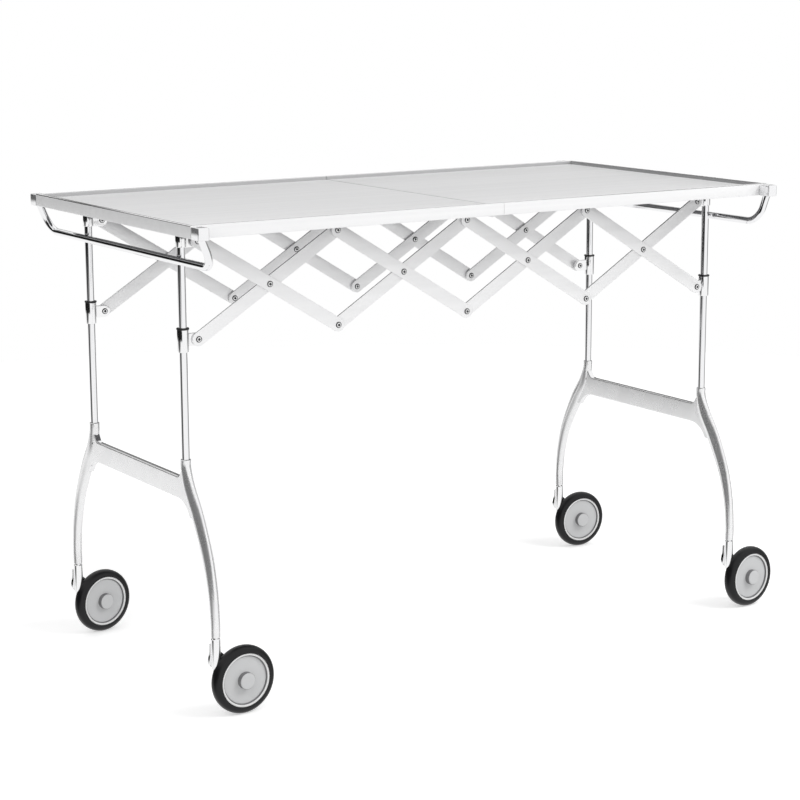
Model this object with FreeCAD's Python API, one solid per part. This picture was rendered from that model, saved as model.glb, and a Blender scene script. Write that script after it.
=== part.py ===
import FreeCAD, Part
import math
import os

# A folding service table: two end frames on casters, joined by two four-cell lattices
# and by a two-piece top whose halves rise at the middle seam as the frames come together.
# +X runs along the table, +Y across it, +Z up; the floor is z = 0. Millimetres.

Vec = FreeCAD.Vector
X_DIR = Vec(1, 0, 0)
Y_DIR = Vec(0, 1, 0)
Z_DIR = Vec(0, 0, 1)

# ---- driving dimensions -------------------------------------------------------------
TABLE_LENGTH = 1030.0        # over the two end rails
TOP_WIDTH = 512.0            # over the two long rails
TOP_HEIGHT = 703.0           # floor to the rim's top edge

RIM_HEIGHT = 18.0
RIM_WALL = 7.0               # wall that stands round the sheet
LEDGE = 5.0                  # step inside the wall that carries the sheet
RIM_EDGE = 1.2               # chamfer along the rim's outer top edges
RECESS = 5.5                 # rim top down to the sheet's face
SHEET = 3.0
SHEET_GAP = 0.1              # sheet's edge to the rim's wall
SEAM_GAP = 0.6               # between the two halves
SEAM_RAIL = 16.0             # cross rail under each half's inner edge

BLOCK_LENGTH = 17.0          # corner block, along X
BLOCK_WIDTH = 22.0           # outboard of the long rail
BLOCK_DROP = 1.0             # block's top below the rim's top
BLOCK_GAP = 0.4              # rail's outer face to the block
BLOCK_EDGE = 1.6             # chamfer round the block's outer edges
TILT_PIN_D = 8.0
TILT_PIN_REACH = 6.0         # into the rail

ROD_D = 12.0
ROD_X = 477.0                # rod axis from the table's middle
ROD_Y = 152.0
ROD_TOP_GAP = 5.0            # rod's end below the rim's bottom
SOCKET_DEPTH = 34.0

PIVOT_OFFSET = 22.0          # lattice's end pivots, inboard of the rods
LATTICE_TOP_DROP = 16.0      # top pivots below the rim's bottom
LATTICE_DROP = 139.0         # top pivots down to bottom pivots
CELLS = 4
BAR_WIDTH = 20.0
BAR_THICK = 3.0
LUG_THICK = 5.0
LUG_R = 9.0
LUG_BAR_GAP = 0.4
BAR_GAP = 0.3                # between the two layers of bars
RIVET_D = 6.0
RIVET_HEAD_D = 9.0
RIVET_HEAD = 1.4
PIN_SIDES = 8                # flats on the small pins and their holes, which repeat
HEAD_SIDES = 12              # flats on rivet heads, bosses and the bars' round ends
ROUND_SIDES = 12             # flats on the upright rods and the sleeves round them
LEG_SIDES = 10               # corners of each leg section

COLLAR_D = 17.0
COLLAR_HEIGHT = 32.0
COLLAR_RISE = 15.0           # collar's top above its pivot
RING_HEIGHT = 2.6
RING_D = 18.4
TOP_SLEEVE_D = 15.5
TOP_SLEEVE_HEIGHT = 16.0

HANDLE_D = 9.0
HANDLE_DROP = 41.0           # grip bar's centre below the rim's bottom
HANDLE_BEND_R = 25.0
HANDLE_SEAT = 7.0            # arm's length inside the corner block
HANDLE_SIDES = 12            # flats round the handle's rod
SADDLE_WIDTH = 10.0
SADDLE_HEIGHT = 8.0

BLADE_TOP_Z = 331.0          # crossbar of the leg casting
BLADE_BOTTOM_Z = 300.0
BLADE_THICK = 10.0
BLADE_EDGE = 1.2
NECK_FILLET = 12.0
ARCH_R = 40.0
SOCKET_TOP_Z = 359.0
SOCKET_D = 15.6
FOOT_Y = 231.0               # caster stem's axis
FOOT_BOTTOM_Z = 117.0
FOOT_D = 13.8

WHEEL_D = 100.0
TYRE_WIDTH = 20.0
TYRE_WALL = 10.5             # tyre's radial thickness
TYRE_FLATS = 5               # flats across the tyre's round crown
WHEEL_SIDES = 32             # flats round each wheel
HUB_INSET = 1.0              # hub's faces inside the tyre's side walls
HUB_LIP = 3.0                # width and height of the ring round the hub's face
BOSS_D = 24.0
BOSS_PROUD = 9.0
AXLE_D = 8.0
TRAIL = 39.0                 # axle behind the stem
WHEEL_OFFSET = 7.5           # wheel's middle plane beside the stem
FORK_THICK = 6.0
FORK_WHEEL_GAP = 1.2
FORK_STEM_D = 13.6
FORK_SHOULDER = 42.0         # lower end of the stem above the axle
SWIVEL_GAP = 2.0             # leg's end to the fork's shoulder
SPIGOT_D = 8.0
SPIGOT_LENGTH = 24.0
# how far each caster has swivelled, in degrees, seen from above
SWIVELS = {"left_front": 3.0, "left_rear": 10.0, "right_front": 5.0, "right_rear": -3.0}

HINGE_BARREL_D = 5.6
HINGE_LEAF = 2.0
HINGE_LEAF_WIDTH = 22.0
HINGE_DROP = 3.0             # hinge axis below the rim's bottom
HINGE_LENGTH = 54.0
HINGE_KNUCKLES = 3
HINGE_KNUCKLE_GAP = 0.4
HINGE_PIN_D = 2.6
HINGE_CENTRES = (-200.0, -70.0, 70.0, 200.0)

RUN_CLEARANCE = 0.05         # radial, a pin that turns in its hole
SEAT_CLEARANCE = 0.02        # radial, a pin or rod held in its hole
SLIDE_CLEARANCE = 0.09       # radial, collar on rod

# ---- sizes that follow --------------------------------------------------------------
HALF_LENGTH = TABLE_LENGTH / 2
HALF_WIDTH = TOP_WIDTH / 2
RIM_BOTTOM_Z = TOP_HEIGHT - RIM_HEIGHT
SHEET_TOP_Z = TOP_HEIGHT - RECESS
SHEET_BOTTOM_Z = SHEET_TOP_Z - SHEET
TILT_X = HALF_LENGTH - BLOCK_LENGTH / 2
TILT_Z = TOP_HEIGHT - RIM_HEIGHT / 2
SEAM_HINGE_Z = RIM_BOTTOM_Z - HINGE_DROP
PIVOT_X = ROD_X - PIVOT_OFFSET
LATTICE_TOP_Z = RIM_BOTTOM_Z - LATTICE_TOP_DROP
HANDLE_Z = RIM_BOTTOM_Z - HANDLE_DROP
LATTICE_BOTTOM_Z = LATTICE_TOP_Z - LATTICE_DROP
PITCH = 2 * PIVOT_X / CELLS
BAR_LENGTH = math.hypot(PITCH, LATTICE_DROP)      # between end holes
BAR_ANGLE = math.degrees(math.atan2(LATTICE_DROP, PITCH))
RISING_Y = ROD_Y + LUG_THICK / 2 + LUG_BAR_GAP    # inner face of the inner layer
FALLING_Y = RISING_Y + BAR_THICK + BAR_GAP        # inner face of the outer layer
OUTER_Y = FALLING_Y + BAR_THICK
RUN_PLAY = 0.1                                    # head to the bar that turns under it
WHEEL_R = WHEEL_D / 2
TYRE_SEAT_D = WHEEL_D - 2 * TYRE_WALL
FORK_SHOULDER_Z = WHEEL_R + FORK_SHOULDER
ROD_TOP_Z = RIM_BOTTOM_Z - ROD_TOP_GAP
HANDLE_X = ROD_X + (ROD_D + HANDLE_D) / 2
BLOCK_Y = HALF_WIDTH + BLOCK_GAP


def box(x0, x1, y0, y1, z0, z1):
    return Part.makeBox(x1 - x0, y1 - y0, z1 - z0, Vec(x0, y0, z0))


def prism_z(x, y, z0, z1, radius, sides):
    """A many-sided rod along Z with its corners on the radius."""
    turns = [2 * math.pi * i / sides for i in range(sides)]
    ring = [Vec(x + radius * math.cos(a), y + radius * math.sin(a), z0) for a in turns]
    return Part.Face(Part.makePolygon(ring + ring[:1])).extrude(Z_DIR * (z1 - z0))


def rod_z(x, y, z0, z1, diameter):
    return prism_z(x, y, z0, z1, diameter / 2, ROUND_SIDES)


def prism_y(x, z, y0, y1, radius, sides):
    """A many-sided pin along Y: a light stand-in for a small cylinder."""
    turns = [2 * math.pi * i / sides for i in range(sides)]
    ring = [Vec(x + radius * math.cos(a), y0, z + radius * math.sin(a)) for a in turns]
    return Part.Face(Part.makePolygon(ring + ring[:1])).extrude(Y_DIR * (y1 - y0))


def pin_y(x, z, y0, y1, diameter):
    """Pin whose corners lie on its diameter."""
    return prism_y(x, z, y0, y1, diameter / 2, PIN_SIDES)


def pin_hole_y(x, z, y0, y1, diameter, play):
    """Hole whose flats clear a pin of that diameter by the radial play."""
    flat = diameter / 2 + play
    return prism_y(x, z, y0, y1, flat / math.cos(math.pi / PIN_SIDES), PIN_SIDES)


def mirror_x(shape):
    return shape.mirror(Vec(0, 0, 0), X_DIR)


def mirror_y(shape):
    return shape.mirror(Vec(0, 0, 0), Y_DIR)


def pair_y(shape):
    """The front piece and its mirror image at the rear, as separate solids."""
    return Part.makeCompound([shape, mirror_y(shape)])


def fuse(*shapes):
    joined = shapes[0]
    for shape in shapes[1:]:
        joined = joined.fuse(shape)
    return joined.removeSplitter()


# ---- lattice ------------------------------------------------------------------------
def flat_bar(x, z, angle, y0, end_hole, middle_hole, start_hole):
    """A flat bar with round ends and three holes, from (x, z) along angle in XZ."""
    half = BAR_WIDTH / 2
    plate = box(0, BAR_LENGTH, y0, y0 + BAR_THICK, -half, half)
    plate = fuse(plate, prism_y(0, 0, y0, y0 + BAR_THICK, half, HEAD_SIDES),
                 prism_y(BAR_LENGTH, 0, y0, y0 + BAR_THICK, half, HEAD_SIDES))
    holes = ((0, start_hole), (BAR_LENGTH / 2, middle_hole), (BAR_LENGTH, end_hole))
    for place, play in holes:
        if play is not None:
            plate = plate.cut(pin_hole_y(place, 0, y0 - 1, y0 + BAR_THICK + 1, RIVET_D, play))
    plate.rotate(Vec(0, 0, 0), Y_DIR, -angle)
    plate.translate(Vec(x, 0, z))
    return plate


def falling_bar(cell):
    """Outer layer at the rear: goes down towards +X. Pins are fixed in it."""
    x = -PIVOT_X + cell * PITCH
    ends_play = RUN_CLEARANCE if cell == 0 else SEAT_CLEARANCE
    far_play = RUN_CLEARANCE if cell == CELLS - 1 else SEAT_CLEARANCE
    return flat_bar(x, LATTICE_TOP_Z, -BAR_ANGLE, FALLING_Y, far_play, SEAT_CLEARANCE, ends_play)


def rising_bar(cell):
    """Inner layer at the rear: goes up towards +X. Turns on the falling bars' pins."""
    x = -PIVOT_X + cell * PITCH
    middle = CELLS // 2
    far_play = SEAT_CLEARANCE if cell == middle - 1 else RUN_CLEARANCE
    near_play = SEAT_CLEARANCE if cell == middle else RUN_CLEARANCE
    return flat_bar(x, LATTICE_BOTTOM_Z, BAR_ANGLE, RISING_Y, far_play, RUN_CLEARANCE, near_play)


def rivet_head(x, z, y, outward):
    """Flat head on a bar's face; outward is +1 or -1 along Y."""
    low = y if outward > 0 else y - RIVET_HEAD
    return prism_y(x, z, low, low + RIVET_HEAD, RIVET_HEAD_D / 2, HEAD_SIDES)


def through_rivet(x, z):
    """Holds both layers: shank, a head outside and a head inside."""
    inner = RISING_Y - RUN_PLAY
    shank = pin_y(x, z, inner - RIVET_HEAD / 2, OUTER_Y + RIVET_HEAD / 2, RIVET_D)
    return fuse(rivet_head(x, z, OUTER_Y, 1), rivet_head(x, z, inner, -1), shank)


def outer_stub(x, z):
    """Short rivet that stays in a falling bar: no shank reaches the other layer."""
    shank = pin_y(x, z, FALLING_Y, OUTER_Y + RIVET_HEAD / 2, RIVET_D)
    return fuse(rivet_head(x, z, OUTER_Y, 1), shank)


def inner_stub(x, z):
    """Short rivet that stays in a rising bar."""
    shank = pin_y(x, z, RISING_Y - RIVET_HEAD / 2, RISING_Y + BAR_THICK, RIVET_D)
    return fuse(rivet_head(x, z, RISING_Y, -1), shank)


def falling_rivets(cell):
    """The rivets that turn with one falling bar, at the rear."""
    x = -PIVOT_X + cell * PITCH
    pieces = [through_rivet(x + PITCH / 2, (LATTICE_TOP_Z + LATTICE_BOTTOM_Z) / 2)]
    middle = CELLS // 2
    if cell == middle - 1:
        pieces += [through_rivet(x, LATTICE_TOP_Z), outer_stub(x + PITCH, LATTICE_BOTTOM_Z)]
    elif cell == middle:
        pieces += [outer_stub(x, LATTICE_TOP_Z), through_rivet(x + PITCH, LATTICE_BOTTOM_Z)]
    elif cell < middle:
        pieces.append(through_rivet(x + PITCH, LATTICE_BOTTOM_Z))
    else:
        pieces.append(through_rivet(x, LATTICE_TOP_Z))
    return pieces


# ---- collars and lugs ---------------------------------------------------------------
def tongue(x, z, sleeve_x):
    """Flat lug from a sleeve on a rod to a round end at the pivot."""
    y0 = ROD_Y - LUG_THICK / 2
    y1 = ROD_Y + LUG_THICK / 2
    web = box(min(x, sleeve_x), max(x, sleeve_x), y0, y1, z - LUG_R, z + LUG_R)
    return fuse(web, prism_y(x, z, y0, y1, LUG_R, HEAD_SIDES))


def lug_stud(x, z, layer_y):
    """Stud of a lug, with a spacer where the bar is in the outer layer, and its head."""
    lug_face = ROD_Y + LUG_THICK / 2
    outside = layer_y + BAR_THICK + RUN_PLAY
    shank = pin_y(x, z, lug_face - 1, outside + RIVET_HEAD / 2, RIVET_D)
    stud = fuse(shank, rivet_head(x, z, outside, 1))
    if layer_y > RISING_Y:
        spacer = prism_y(x, z, lug_face - 1, layer_y - RUN_PLAY, RIVET_D, HEAD_SIDES)
        stud = fuse(stud, spacer)
    return stud


def sleeve_with_lug(z_low, z_high, diameter, bore, pivot_z, layer_y, side):
    rod_x = side * ROD_X
    pivot_x = side * PIVOT_X
    body = rod_z(rod_x, ROD_Y, z_low, z_high, diameter)
    body = fuse(body, tongue(pivot_x, pivot_z, rod_x), lug_stud(pivot_x, pivot_z, layer_y))
    return body.cut(rod_z(rod_x, ROD_Y, z_low - 1, z_high + 1, bore))


def collars(side):
    layer = RISING_Y if side < 0 else FALLING_Y
    top = LATTICE_BOTTOM_Z + COLLAR_RISE
    return pair_y(sleeve_with_lug(top - COLLAR_HEIGHT, top, COLLAR_D,
                                  ROD_D + 2 * SLIDE_CLEARANCE, LATTICE_BOTTOM_Z, layer, side))


def collar_rings(side):
    low = LATTICE_BOTTOM_Z + COLLAR_RISE
    ring = rod_z(side * ROD_X, ROD_Y, low, low + RING_HEIGHT, RING_D)
    bore = rod_z(side * ROD_X, ROD_Y, low - 1, low + RING_HEIGHT + 1, ROD_D + 2 * SLIDE_CLEARANCE)
    return pair_y(ring.cut(bore))


def top_lugs(side):
    layer = FALLING_Y if side < 0 else RISING_Y
    half = TOP_SLEEVE_HEIGHT / 2
    low = LATTICE_TOP_Z - half
    return pair_y(sleeve_with_lug(low, low + TOP_SLEEVE_HEIGHT, TOP_SLEEVE_D,
                                  ROD_D + 2 * SEAT_CLEARANCE, LATTICE_TOP_Z, layer, side))


# ---- end frames ---------------------------------------------------------------------
def rod(side, y_side):
    low = SOCKET_TOP_Z - SOCKET_DEPTH
    return rod_z(side * ROD_X, y_side * ROD_Y, low, ROD_TOP_Z, ROD_D)


def leg_section(y, z, lean, width, depth):
    """Oval wire square to the leg; lean is the leg's angle from vertical."""
    ring = []
    for i in range(LEG_SIDES):
        turn = 2 * math.pi * i / LEG_SIDES
        across = math.cos(turn) * width / 2
        along = math.sin(turn) * depth / 2
        ring.append(Vec(along, y + across * math.cos(lean), z + across * math.sin(lean)))
    return Part.makePolygon(ring + ring[:1])


def leg():
    """One leg at the rear, from the rod's socket down to the caster: a lofted casting."""
    # y, z, width across, depth along X; the spine bows outwards and the leg thins downwards
    stations = (
        (ROD_Y, SOCKET_TOP_Z, SOCKET_D, SOCKET_D),
        (ROD_Y + 0.6, SOCKET_TOP_Z - 14, SOCKET_D + 1.4, SOCKET_D + 0.3),
        (ROD_Y + 10, BLADE_TOP_Z - 13, 26.0, 17.0),
        (ROD_Y + 33, BLADE_BOTTOM_Z - 17, 28.0, 17.0),
        (ROD_Y + 60, BLADE_BOTTOM_Z - 68, 22.5, 15.8),
        (FOOT_Y - 5, BLADE_BOTTOM_Z - 115, 17.6, 14.8),
        (FOOT_Y, FOOT_BOTTOM_Z + 26, FOOT_D + 0.5, FOOT_D + 0.3),
        (FOOT_Y, FOOT_BOTTOM_Z, FOOT_D, FOOT_D),
    )
    rings = []
    last = len(stations) - 1
    for i, (y, z, width, depth) in enumerate(stations):
        before = stations[max(i - 1, 0)]
        after = stations[min(i + 1, last)]
        lean = math.atan2(after[0] - before[0], before[1] - after[1])
        if i in (0, last):
            lean = 0.0
        rings.append(leg_section(y, z, lean, width, depth))
    return Part.makeLoft(rings, True, True)


def crossbar_blade():
    """Half of the tall blade between the legs (+Y side), with its necks and its arch."""
    lean = math.radians(63.4)
    reach = ARCH_R * math.tan(lean / 2)
    corner_y = ROD_Y + 6
    arch_start = Vec(0, corner_y - reach, BLADE_BOTTOM_Z)
    arch_end = Vec(0, corner_y + reach * math.cos(lean), BLADE_BOTTOM_Z - reach * math.sin(lean))
    arch_centre = Vec(0, arch_start.y, BLADE_BOTTOM_Z - ARCH_R)
    half = math.radians(90) - lean / 2
    arch_mid = arch_centre + Vec(0, math.cos(half), math.sin(half)) * ARCH_R
    neck_y = ROD_Y - SOCKET_D / 2
    neck_top = Vec(0, neck_y, BLADE_TOP_Z + NECK_FILLET)
    neck_foot = Vec(0, neck_y - NECK_FILLET, BLADE_TOP_Z)
    neck_centre = Vec(0, neck_y - NECK_FILLET, BLADE_TOP_Z + NECK_FILLET)
    quarter = math.radians(-45)
    neck_mid = neck_centre + Vec(0, math.cos(quarter), math.sin(quarter)) * NECK_FILLET
    inside_top = Vec(0, ROD_Y, BLADE_TOP_Z + NECK_FILLET)
    inside_low = Vec(0, arch_end.y + 6, arch_end.z)
    inside_mid = Vec(0, ROD_Y + 12, BLADE_BOTTOM_Z + 10)
    edges = [
        Part.makeLine(Vec(0, 0, BLADE_BOTTOM_Z), arch_start),
        Part.Arc(arch_start, arch_mid, arch_end).toShape(),
        Part.makeLine(arch_end, inside_low),
        Part.makeLine(inside_low, inside_mid),
        Part.makeLine(inside_mid, inside_top),
        Part.makeLine(inside_top, neck_top),
        Part.Arc(neck_top, neck_mid, neck_foot).toShape(),
        Part.makeLine(neck_foot, Vec(0, 0, BLADE_TOP_Z)),
        Part.makeLine(Vec(0, 0, BLADE_TOP_Z), Vec(0, 0, BLADE_BOTTOM_Z)),
    ]
    face = Part.Face(Part.Wire(edges))
    blade = face.extrude(X_DIR * BLADE_THICK)
    blade.translate(X_DIR * (-BLADE_THICK / 2))
    return blade


def leg_casting(side):
    half_blade = crossbar_blade()
    blade = fuse(half_blade, mirror_y(half_blade))
    long_edges = []
    for edge in blade.Edges:
        middle = edge.CenterOfMass
        flat = abs(middle.y) < 1.0 and edge.Length > ROD_Y
        if flat and abs(abs(middle.x) - BLADE_THICK / 2) < 0.01:
            long_edges.append(edge)
    blade = blade.makeChamfer(BLADE_EDGE, long_edges)
    one_leg = leg()
    casting = fuse(blade, one_leg, mirror_y(one_leg))
    for y_side in (-1, 1):
        low = SOCKET_TOP_Z - SOCKET_DEPTH
        casting = casting.cut(rod_z(0, y_side * ROD_Y, low, SOCKET_TOP_Z + 1,
                                    ROD_D + 2 * SEAT_CLEARANCE))
        spigot_flat = SPIGOT_D / 2 + RUN_CLEARANCE
        casting = casting.cut(prism_z(0, y_side * FOOT_Y, FOOT_BOTTOM_Z - 1,
                                      FOOT_BOTTOM_Z + SPIGOT_LENGTH - SWIVEL_GAP + 1,
                                      spigot_flat / math.cos(math.pi / PIN_SIDES), PIN_SIDES))
    casting.translate(X_DIR * (side * ROD_X))
    return casting


def handle_path(side, start_lift):
    """Centre line of the handle: an arm, a bend, the grip bar, a bend and an arm."""
    arm_y = BLOCK_Y + BLOCK_WIDTH / 2 - 0.5
    low = Vec(side * HANDLE_X, 0, HANDLE_Z)
    top = Vec(side * TILT_X, 0, RIM_BOTTOM_Z - BLOCK_DROP + start_lift)
    lean = (top - low).normalize()
    length = (top - low).Length
    turn = HANDLE_BEND_R * (1 - math.sqrt(0.5))
    edges = []
    corners = []
    for y_side in (-1, 1):
        end = low + Y_DIR * (y_side * arm_y) + lean * length
        bend_top = low + Y_DIR * (y_side * arm_y) + lean * HANDLE_BEND_R
        bend_mid = low + Y_DIR * (y_side * (arm_y - turn)) + lean * turn
        bend_low = low + Y_DIR * (y_side * (arm_y - HANDLE_BEND_R))
        corners.append((end, bend_top, bend_mid, bend_low))
    front, rear = corners
    edges.append(Part.makeLine(front[0], front[1]))
    edges.append(Part.Arc(front[1], front[2], front[3]).toShape())
    edges.append(Part.makeLine(front[3], rear[3]))
    edges.append(Part.Arc(rear[3], rear[2], rear[1]).toShape())
    edges.append(Part.makeLine(rear[1], rear[0]))
    return Part.Wire(edges), front[0], lean


def handle_solid(side, diameter, start_lift):
    path, start, lean = handle_path(side, start_lift)
    ring = []
    for i in range(HANDLE_SIDES):
        turn = 2 * math.pi * i / HANDLE_SIDES
        square = Y_DIR.cross(lean)
        ring.append(start + (Y_DIR * math.cos(turn) + square * math.sin(turn)) * diameter / 2)
    return path.makePipeShell([Part.makePolygon(ring + ring[:1])], True, False, 2)


def handle(side):
    return handle_solid(side, HANDLE_D, HANDLE_SEAT)


def corner_blocks(side):
    x0 = HALF_LENGTH - BLOCK_LENGTH
    top = TOP_HEIGHT - BLOCK_DROP
    block = box(x0, HALF_LENGTH, BLOCK_Y, BLOCK_Y + BLOCK_WIDTH, top - RIM_HEIGHT, top)
    outer = [edge for edge in block.Edges if edge.CenterOfMass.y > BLOCK_Y + 0.01]
    block = block.makeChamfer(BLOCK_EDGE, outer)
    pin = pin_y(TILT_X, TILT_Z, HALF_WIDTH - TILT_PIN_REACH, BLOCK_Y + 2, TILT_PIN_D)
    block = fuse(block, pin)
    if side < 0:
        block = mirror_x(block)
    seat = handle_solid(side, HANDLE_D + 2 * SEAT_CLEARANCE, HANDLE_SEAT)
    pair = [block.cut(seat), mirror_y(block).cut(seat)]
    return Part.makeCompound(pair)


def handle_saddles(side):
    """Blocks hollowed to the rod on one side and to the grip bar on the other."""
    x0, x1 = sorted((side * ROD_X, side * HANDLE_X))
    half = SADDLE_WIDTH / 2
    saddle = box(x0, x1, ROD_Y - half, ROD_Y + half,
                 HANDLE_Z - SADDLE_HEIGHT / 2, HANDLE_Z + SADDLE_HEIGHT / 2)
    saddle = saddle.cut(rod_z(side * ROD_X, ROD_Y, 0, TOP_HEIGHT, ROD_D))
    saddle = saddle.cut(handle_solid(side, HANDLE_D, HANDLE_SEAT))
    return pair_y(saddle)


# ---- top ----------------------------------------------------------------------------
def rim(side):
    inner = -SEAM_GAP / 2
    frame = box(-HALF_LENGTH, inner, -HALF_WIDTH, HALF_WIDTH, RIM_BOTTOM_Z, TOP_HEIGHT)
    top_edges = []
    for edge in frame.Edges:
        middle = edge.CenterOfMass
        outside = abs(middle.y) > HALF_WIDTH - 1 or middle.x < -HALF_LENGTH + 1
        if outside and middle.z > TOP_HEIGHT - 0.01:
            top_edges.append(edge)
    frame = frame.makeChamfer(RIM_EDGE, top_edges)
    wall = HALF_WIDTH - RIM_WALL
    step = wall - LEDGE
    frame = frame.cut(box(-HALF_LENGTH + RIM_WALL, 1, -wall, wall,
                          SHEET_BOTTOM_Z, TOP_HEIGHT + 1))
    frame = frame.cut(box(-HALF_LENGTH + RIM_WALL + LEDGE, inner - SEAM_RAIL, -step, step,
                          RIM_BOTTOM_Z - 1, SHEET_BOTTOM_Z + 1))
    for y_side in (-1, 1):
        y0, y1 = sorted((y_side * (HALF_WIDTH - TILT_PIN_REACH - 0.5), y_side * (HALF_WIDTH + 1)))
        frame = frame.cut(pin_hole_y(-TILT_X, TILT_Z, y0, y1, TILT_PIN_D, RUN_CLEARANCE))
    return frame if side < 0 else mirror_x(frame)


def sheet(side):
    wall = HALF_WIDTH - RIM_WALL - SHEET_GAP
    plate = box(-HALF_LENGTH + RIM_WALL + SHEET_GAP, -SEAM_GAP / 2, -wall, wall,
                SHEET_BOTTOM_Z, SHEET_TOP_Z)
    return plate if side < 0 else mirror_x(plate)


def hinge_leaves(side):
    """Leaves of the hinges under the seam; the left ones carry the pins."""
    barrel_r = HINGE_BARREL_D / 2
    clear_x = barrel_r + 0.5
    knuckle = HINGE_LENGTH / HINGE_KNUCKLES
    leaves = []
    for centre in HINGE_CENTRES:
        low = centre - HINGE_LENGTH / 2
        leaf = box(-HINGE_LEAF_WIDTH, -clear_x, low, low + HINGE_LENGTH,
                   RIM_BOTTOM_Z - HINGE_LEAF, RIM_BOTTOM_Z)
        for k in range(HINGE_KNUCKLES):
            if (k % 2 == 0) != (side < 0):
                continue
            y0 = low + k * knuckle + HINGE_KNUCKLE_GAP / 2
            y1 = low + (k + 1) * knuckle - HINGE_KNUCKLE_GAP / 2
            web = box(-clear_x - 1, 0, y0, y1, RIM_BOTTOM_Z - HINGE_LEAF, RIM_BOTTOM_Z - 0.6)
            barrel = prism_y(0, SEAM_HINGE_Z, y0, y1, barrel_r, HEAD_SIDES)
            leaf = fuse(leaf, web, barrel)
        if side < 0:
            leaf = fuse(leaf, pin_y(0, SEAM_HINGE_Z, low + 1, low + HINGE_LENGTH - 1, HINGE_PIN_D))
        else:
            leaf = leaf.cut(pin_hole_y(0, SEAM_HINGE_Z, low - 1, low + HINGE_LENGTH + 1,
                                       HINGE_PIN_D, RUN_CLEARANCE))
        leaves.append(leaf)
    leaf_set = Part.makeCompound(leaves)
    return leaf_set if side < 0 else mirror_x(leaf_set)


# ---- casters ------------------------------------------------------------------------
def turned_in_flats(profile, sides):
    """Solid ring from a closed (radius, y) profile turned about Y in equal flats."""
    turns = [2 * math.pi * i / sides for i in range(sides + 1)]
    faces = []
    for start, end in zip(turns[:-1], turns[1:]):
        for (r0, y0), (r1, y1) in zip(profile, profile[1:] + profile[:1]):
            corners = [Vec(r * math.cos(a), y, r * math.sin(a))
                       for r, y, a in ((r0, y0, start), (r1, y1, start), (r1, y1, end),
                                       (r0, y0, end), (r0, y0, start))]
            faces.append(Part.Face(Part.makePolygon(corners)))
    shell = Part.Shell(faces)
    shell.sewShape()
    solid = Part.Solid(shell)
    if solid.Volume < 0:
        solid.reverse()
    return solid


def tyre():
    """Tyre with a round crown in flats, on the axle's origin."""
    seat = TYRE_SEAT_D / 2 + SEAT_CLEARANCE
    half = TYRE_WIDTH / 2
    shoulder = seat + 0.06 * TYRE_WALL
    turns = [math.pi * (i / TYRE_FLATS - 0.5) for i in range(TYRE_FLATS + 1)]
    crown = (WHEEL_R - shoulder) / max(math.cos(turn) for turn in turns)
    profile = [(seat, -WHEEL_OFFSET + half), (seat, -WHEEL_OFFSET - half)]
    for turn in turns:
        profile.append((shoulder + crown * math.cos(turn),
                        -WHEEL_OFFSET + half * math.sin(turn)))
    return turned_in_flats(profile, WHEEL_SIDES)


def hub():
    """Disc with a lip and a closed boss outside, and a blind bore for the axle inside."""
    outer = -WHEEL_OFFSET - TYRE_WIDTH / 2 + HUB_INSET
    inner = -WHEEL_OFFSET + TYRE_WIDTH / 2 - HUB_INSET
    face = outer + HUB_LIP
    lip_r = TYRE_SEAT_D / 2
    disc = prism_y(0, 0, outer, inner, lip_r, WHEEL_SIDES)
    disc = disc.cut(prism_y(0, 0, outer - 1, face, lip_r - HUB_LIP, WHEEL_SIDES))
    disc = fuse(disc, prism_y(0, 0, face - BOSS_PROUD, face + 1, BOSS_D / 2, HEAD_SIDES))
    return disc.cut(pin_hole_y(0, 0, face - HUB_INSET, inner + 1, AXLE_D, RUN_CLEARANCE))


def fork():
    """Half fork on the stem's origin: spigot, stem, flared arm and axle in one piece."""
    top = FOOT_BOTTOM_Z - SWIVEL_GAP
    arm_y0 = -WHEEL_OFFSET + TYRE_WIDTH / 2 + FORK_WHEEL_GAP
    stem_r = FORK_STEM_D / 2
    stem = rod_z(0, 0, FORK_SHOULDER_Z, top, FORK_STEM_D)
    spigot = prism_z(0, 0, top - 1, top + SPIGOT_LENGTH, SPIGOT_D / 2, PIN_SIDES)
    boss_r = AXLE_D / 2 + 7.0
    outline = [
        Vec(-stem_r, arm_y0, FORK_SHOULDER_Z + 12),
        Vec(-stem_r - 0.5, arm_y0, FORK_SHOULDER_Z),
        Vec(-stem_r - 2.6, arm_y0, WHEEL_R + 28),
        Vec(-stem_r + 1.5, arm_y0, WHEEL_R + 22),
        Vec(6, arm_y0, WHEEL_R + 14),
        Vec(TRAIL - 0.6 * boss_r, arm_y0, WHEEL_R - 0.8 * boss_r),
        Vec(TRAIL + 0.6 * boss_r, arm_y0, WHEEL_R + 0.8 * boss_r),
        Vec(16, arm_y0, FORK_SHOULDER_Z - 4),
        Vec(stem_r, arm_y0, FORK_SHOULDER_Z + 12),
    ]
    arm = Part.Face(Part.makePolygon(outline + outline[:1])).extrude(Y_DIR * FORK_THICK)
    arm = fuse(arm, prism_y(TRAIL, WHEEL_R, arm_y0, arm_y0 + FORK_THICK, boss_r, HEAD_SIDES))
    axle_end = -WHEEL_OFFSET - TYRE_WIDTH / 2 + HUB_LIP + HUB_INSET
    axle = pin_y(TRAIL, WHEEL_R, axle_end, arm_y0 + 1, AXLE_D)
    return fuse(stem, spigot, arm, axle)


def at_foot(shape, side, y_side, swivel, at_axle):
    """Copy of a caster's piece under its leg, turned about the stem."""
    moved = shape.copy()
    if at_axle:
        moved.translate(Vec(TRAIL, 0, WHEEL_R))
    moved.rotate(Vec(0, 0, 0), Z_DIR, swivel)
    moved.translate(Vec(side * ROD_X, y_side * FOOT_Y, 0))
    return moved


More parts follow.
